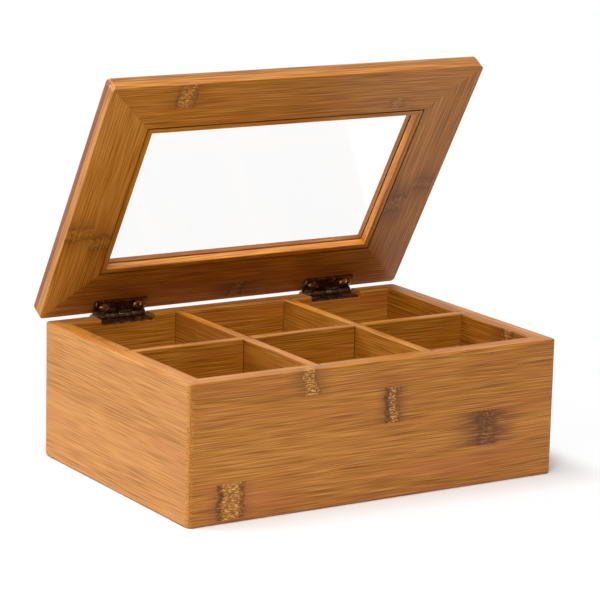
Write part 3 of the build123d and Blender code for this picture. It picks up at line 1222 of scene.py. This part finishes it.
def make_floor(studio):
    """A pale floor that keeps the box's shadow and turns plain white away from it."""
    shape = bmesh.new()
    bmesh.ops.create_circle(shape, cap_ends=True, radius=studio.floor_radius, segments=96)
    mesh = bpy.data.meshes.new("studio_floor")
    shape.to_mesh(mesh)
    shape.free()
    material, sheet = new_material("studio_floor", (0.9, 0.9, 0.9))
    coordinates = sheet.add("ShaderNodeTexCoord").outputs["Object"]
    foot = (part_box("right_wall")[1].x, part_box("back_wall")[1].y, 0.0)
    beyond = sheet.vector_math("SUBTRACT", sheet.vector_math("ABSOLUTE", coordinates), foot)
    beyond = sheet.vector_math("MAXIMUM", beyond, (0.0, 0.0, 0.0))
    distance = sheet.add("ShaderNodeVectorMath", {"Vector": beyond}, operation="LENGTH")
    distance = distance.outputs["Value"]
    near_share = sheet.step(distance, 0.014, 0.036, 0.05, 0.9)
    far_share = sheet.step(distance, 0.04, 0.2, 0.0, 1.0)
    white_share = sheet.math("MAXIMUM", near_share, far_share)
    white_share = sheet.math("MULTIPLY", white_share, seen_directly(sheet))
    matt = sheet.add("ShaderNodeBsdfDiffuse", {"Color": (0.88, 0.88, 0.88, 1)})
    white = sheet.add("ShaderNodeEmission", {"Color": (1, 1, 1, 1), "Strength": 1.0})
    either = sheet.add("ShaderNodeMixShader")
    sheet.feed(either.inputs[0], white_share)
    sheet.feed(either.inputs[1], matt.outputs["BSDF"])
    sheet.feed(either.inputs[2], white.outputs["Emission"])
    show_surface(sheet, either.outputs["Shader"])
    mesh.materials.append(material)
    floor = bpy.data.objects.new("studio_floor", mesh)
    bpy.context.scene.collection.objects.link(floor)


def make_lamp(name, place, aim, width, height, power):
    """A rectangular softbox at a place, facing the aim point."""
    lamp = bpy.data.lights.new(name, "AREA")
    lamp.shape = "RECTANGLE"
    lamp.size = width
    lamp.size_y = height
    lamp.energy = power
    holder = bpy.data.objects.new(name, lamp)
    bpy.context.scene.collection.objects.link(holder)
    holder.location = place
    holder.rotation_euler = (aim - place).to_track_quat("-Z", "Y").to_euler()
    holder.visible_camera = False
    holder.visible_transmission = False
    return holder


def make_lamps(studio):
    aim = (cad_low + cad_high) / 2
    make_lamp("key_lamp", Vector((-1.3, 1.0, 0.65)), aim, 1.2, 1.0, studio.key_power)
    make_lamp("top_lamp", Vector((-0.5, 0.1, 1.95)), aim, 1.0, 1.0, studio.top_power)
    make_lamp("front_lamp", Vector((-0.6, -1.0, 1.6)), aim, 1.0, 0.8, studio.front_power)
    back = make_lamp("back_lamp", Vector((0.9, 1.5, 0.55)), aim, 1.4, 0.7, studio.back_power)
    back.visible_glossy = False


def make_camera(studio):
    """The camera, aimed at a point beside the middle of the box's foot."""
    level = math.cos(studio.elevation)
    sight = Vector(
        (
            -math.sin(studio.azimuth) * level,
            math.cos(studio.azimuth) * level,
            -math.sin(studio.elevation),
        )
    )
    right = sight.cross(Z_AXIS).normalized()
    up = right.cross(sight)
    rolled_right = right * math.cos(studio.roll) + up * math.sin(studio.roll)
    rolled_up = up * math.cos(studio.roll) - right * math.sin(studio.roll)
    aim = rolled_right * studio.aim_right + rolled_up * studio.aim_up
    data = bpy.data.cameras.new("studio_camera")
    data.lens = studio.lens
    camera = bpy.data.objects.new("studio_camera", data)
    bpy.context.scene.collection.objects.link(camera)
    camera.matrix_world = frame_matrix(
        rolled_right, rolled_up, -sight, aim - sight * studio.distance
    )
    bpy.context.scene.camera = camera


# ---------------------------------------------------------------------------
# Operators
# ---------------------------------------------------------------------------


class TEABOX_OT_walls(bpy.types.Operator):
    """Lay caramel bamboo along the four mitred walls of the box"""

    bl_idname = "teabox.walls"
    bl_label = "Finish Walls"
    bl_options = {"REGISTER", "UNDO"}

    def execute(self, context):
        finish_frame_of_boards(WALLS, context.scene.teabox_bamboo, X_AXIS, Y_AXIS)
        return {"FINISHED"}


class TEABOX_OT_base_panel(bpy.types.Operator):
    """Lay bamboo along the base panel"""

    bl_idname = "teabox.base_panel"
    bl_label = "Finish Base Panel"
    bl_options = {"REGISTER", "UNDO"}

    def execute(self, context):
        finish_board(BASE, context.scene.teabox_bamboo)
        return {"FINISHED"}


class TEABOX_OT_dividers(bpy.types.Operator):
    """Lay bamboo along the three dividers"""

    bl_idname = "teabox.dividers"
    bl_label = "Finish Dividers"
    bl_options = {"REGISTER", "UNDO"}

    def execute(self, context):
        for board in DIVIDERS:
            finish_board(board, context.scene.teabox_bamboo)
        return {"FINISHED"}


class TEABOX_OT_lid_frame(bpy.types.Operator):
    """Lay bamboo along the lid's rails and stiles"""

    bl_idname = "teabox.lid_frame"
    bl_label = "Finish Lid Frame"
    bl_options = {"REGISTER", "UNDO"}

    def execute(self, context):
        finish_frame_of_boards(LID_MEMBERS, context.scene.teabox_bamboo, X_AXIS, lid_rearward)
        return {"FINISHED"}


class TEABOX_OT_beads(bpy.types.Operator):
    """Lay bamboo along the beads that hold the pane"""

    bl_idname = "teabox.beads"
    bl_label = "Finish Beads"
    bl_options = {"REGISTER", "UNDO"}

    def execute(self, context):
        finish_frame_of_boards(BEADS, context.scene.teabox_bamboo, X_AXIS, lid_rearward)
        return {"FINISHED"}


class TEABOX_OT_window_pane(bpy.types.Operator):
    """Cut the glass pane and grind its arrises"""

    bl_idname = "teabox.window_pane"
    bl_label = "Make Window Pane"
    bl_options = {"REGISTER", "UNDO"}

    def execute(self, context):
        make_pane(context.scene.teabox_pane)
        return {"FINISHED"}


class TEABOX_OT_hinge_leaves(bpy.types.Operator):
    """Stamp and roll the four hinge leaves"""

    bl_idname = "teabox.hinge_leaves"
    bl_label = "Make Hinge Leaves"
    bl_options = {"REGISTER", "UNDO"}

    def execute(self, context):
        finish = context.scene.teabox_hinge
        material = bronze_material("antique_bronze_leaf", finish, 0.35)
        for side in HINGE_SIDES:
            make_leaf(side, "box", finish, material)
            make_leaf(side, "lid", finish, material)
        return {"FINISHED"}


class TEABOX_OT_hinge_pins(bpy.types.Operator):
    """Plate the two hinge pins"""

    bl_idname = "teabox.hinge_pins"
    bl_label = "Finish Hinge Pins"
    bl_options = {"REGISTER", "UNDO"}

    def execute(self, context):
        material = bronze_material("antique_bronze_pin", context.scene.teabox_hinge, 0.6)
        for side in HINGE_SIDES:
            pin = frame["nodes"][f"hinge_{side}_pin"]
            pin.data.materials.clear()
            pin.data.materials.append(material)
        return {"FINISHED"}


class TEABOX_OT_screws(bpy.types.Operator):
    """Plate the hinge screws"""

    bl_idname = "teabox.screws"
    bl_label = "Finish Screws"
    bl_options = {"REGISTER", "UNDO"}

    def execute(self, context):
        material = bronze_material("antique_bronze_screw", context.scene.teabox_hinge, 1.0)
        for node in ("box_leaf_screws", "lid_leaf_screws"):
            screws = frame["nodes"][node]
            screws.data.materials.clear()
            screws.data.materials.append(material)
        return {"FINISHED"}


class TEABOX_OT_studio(bpy.types.Operator):
    """Set up the floor, the white room, the lamps and the camera"""

    bl_idname = "teabox.studio"
    bl_label = "Set Up Studio"
    bl_options = {"REGISTER", "UNDO"}

    def execute(self, context):
        studio = context.scene.teabox_studio
        make_room(studio)
        make_floor(studio)
        make_lamps(studio)
        make_camera(studio)
        context.scene.view_settings.view_transform = "Standard"
        return {"FINISHED"}


OPERATORS = (
    TEABOX_OT_walls,
    TEABOX_OT_base_panel,
    TEABOX_OT_dividers,
    TEABOX_OT_lid_frame,
    TEABOX_OT_beads,
    TEABOX_OT_window_pane,
    TEABOX_OT_hinge_leaves,
    TEABOX_OT_hinge_pins,
    TEABOX_OT_screws,
    TEABOX_OT_studio,
)
SETTINGS = (
    ("teabox_bamboo", BambooFinish),
    ("teabox_hinge", HingeFinish),
    ("teabox_pane", PaneFinish),
    ("teabox_studio", StudioSettings),
)


class TEABOX_PT_sidebar(bpy.types.Panel):
    """Lists the finishes and the steps that make the box"""

    bl_idname = "TEABOX_PT_sidebar"
    bl_label = "Tea Box"
    bl_space_type = "VIEW_3D"
    bl_region_type = "UI"
    bl_category = "Tea Box"

    def draw(self, context):
        for name, group in SETTINGS:
            box = self.layout.box()
            box.label(text=group.__doc__)
            settings = getattr(context.scene, name)
            for prop in group.__annotations__:
                box.prop(settings, prop)
        for operator in OPERATORS:
            self.layout.operator(operator.bl_idname)


def register():
    for name, group in SETTINGS:
        bpy.utils.register_class(group)
        setattr(bpy.types.Scene, name, PointerProperty(type=group))
    for operator in OPERATORS:
        bpy.utils.register_class(operator)
    bpy.utils.register_class(TEABOX_PT_sidebar)


def unregister():
    bpy.utils.unregister_class(TEABOX_PT_sidebar)
    for operator in reversed(OPERATORS):
        bpy.utils.unregister_class(operator)
    for name, group in reversed(SETTINGS):
        delattr(bpy.types.Scene, name)
        bpy.utils.unregister_class(group)


def main():
    register()
    bpy.ops.teabox.walls()
    bpy.ops.teabox.base_panel()
    bpy.ops.teabox.dividers()
    bpy.ops.teabox.lid_frame()
    bpy.ops.teabox.beads()
    bpy.ops.teabox.window_pane()
    bpy.ops.teabox.hinge_leaves()
    bpy.ops.teabox.hinge_pins()
    bpy.ops.teabox.screws()
    bpy.ops.teabox.studio()


if __name__ == "__main__":
    main()
